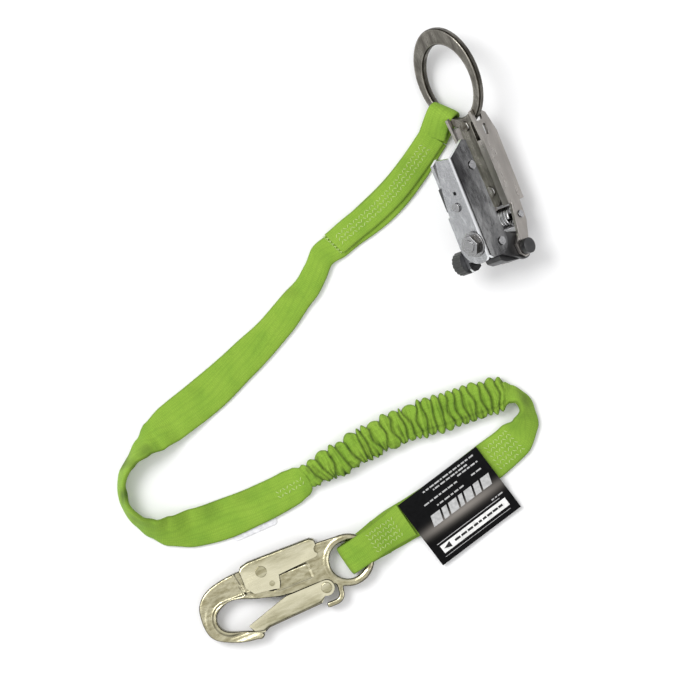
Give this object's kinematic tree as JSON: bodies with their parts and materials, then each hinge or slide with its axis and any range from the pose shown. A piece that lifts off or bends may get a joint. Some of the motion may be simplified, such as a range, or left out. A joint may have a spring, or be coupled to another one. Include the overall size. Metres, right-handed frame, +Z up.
{
  "type": "shock absorbing lanyard",
  "caption": "Flat tubular webbing lanyard with a gathered shock absorber, a double-action snap hook and a cam rope grab on an oval ring, laid flat.",
  "frame": {"origin": "centre of the hardware's bounding box on the floor it lies on", "axes": "+Z up from the floor, +X along the snap hook from its nose to its eye, +Y towards the ring"},
  "size_m": [0.3365, 0.3332, 0.0569],
  "materials": {
    "webbing": "bright lime green woven polyester",
    "core_fibre": "undyed fibre core",
    "label": "black coated label stock",
    "tag": "clear vinyl over white card",
    "zinc_gold": "pale gold zinc plate",
    "stainless": "polished stainless sheet",
    "ring_steel": "brushed grey-brown steel",
    "dark_steel": "blackened steel",
    "spring_steel": "spring wire"
  },
  "bodies": {
    "webbing": {"ring_loop": "webbing", "strap_upper": "webbing", "strap_tail": "webbing", "shock_sleeve": "webbing", "shock_core": "core_fibre", "strap_lower": "webbing", "hook_loop": "webbing", "folded_label": "label", "inspection_tag": "tag"},
    "hook": {"hook_body": "zinc_gold", "gate_rivet": "zinc_gold", "lock_rivet": "zinc_gold", "gate_spring": "spring_steel", "lock_spring": "spring_steel"},
    "gate": {"hook_gate": "zinc_gold"},
    "lock_lever": {"hook_lock_lever": "zinc_gold", "lock_cross_pin": "zinc_gold"},
    "lever": {"lever_channel": "ring_steel", "attachment_ring": "ring_steel", "shank_rivets": "stainless", "spring_pin": "stainless", "return_spring": "spring_steel", "cam": "dark_steel", "cam_pin": "dark_steel"},
    "housing": {"grab_housing": "stainless", "hinge_bolt": "stainless", "hinge_washer": "stainless", "hinge_nut": "stainless", "latch_clip": "dark_steel", "latch_rivet": "stainless", "cam_bracket": "dark_steel", "side_rivets": "stainless"},
    "swing_plate": {"swing_plate": "stainless"},
    "knob": {"lock_knob": "dark_steel"}
  },
  "joints": [
    {"name": "hook_swing", "type": "hinge", "parent": "webbing", "child": "hook", "pos_m": [-0.0478, -0.1392, 0.007], "axis": [0, 0, 1], "range_deg": [-12, 75]},
    {"name": "gate_open", "type": "hinge", "parent": "hook", "child": "gate", "pos_m": [-0.0678, -0.1508, 0.007], "axis": [0, 0, -1], "range_deg": [0, 20], "stiffness_Nm_per_rad": 0.3, "springref_deg": -14.32},
    {"name": "lock_press", "type": "hinge", "parent": "hook", "child": "lock_lever", "pos_m": [-0.1042, -0.1247, 0.007], "axis": [0, 0, -1], "range_deg": [0, 4], "stiffness_Nm_per_rad": 0.6, "springref_deg": -8.59},
    {"name": "grab_tilt", "type": "hinge", "parent": "webbing", "child": "lever", "pos_m": [0.12126, 0.11152, 0.00932], "axis": [-0.3987, 0.8493, -0.3461], "range_deg": [-3, 60]},
    {"name": "lever_open", "type": "hinge", "parent": "lever", "child": "housing", "pos_m": [0.12968, 0.01007, 0.01846], "axis": [0.7071, -0.0444, 0.7057], "range_deg": [0, 28], "stiffness_Nm_per_rad": 0.5, "springref_deg": -34.38},
    {"name": "housing_swing", "type": "hinge", "parent": "housing", "child": "swing_plate", "pos_m": [0.10875, 0.02328, 0.04579], "axis": [-0.7071, -0.0444, 0.7057], "range_deg": [0, 50]},
    {"name": "knob_turn", "type": "hinge", "parent": "swing_plate", "child": "knob", "pos_m": [0.09977, 0.01427, 0.03127], "axis": [0.7071, -0.0444, 0.7057], "continuous": true}
  ]
}
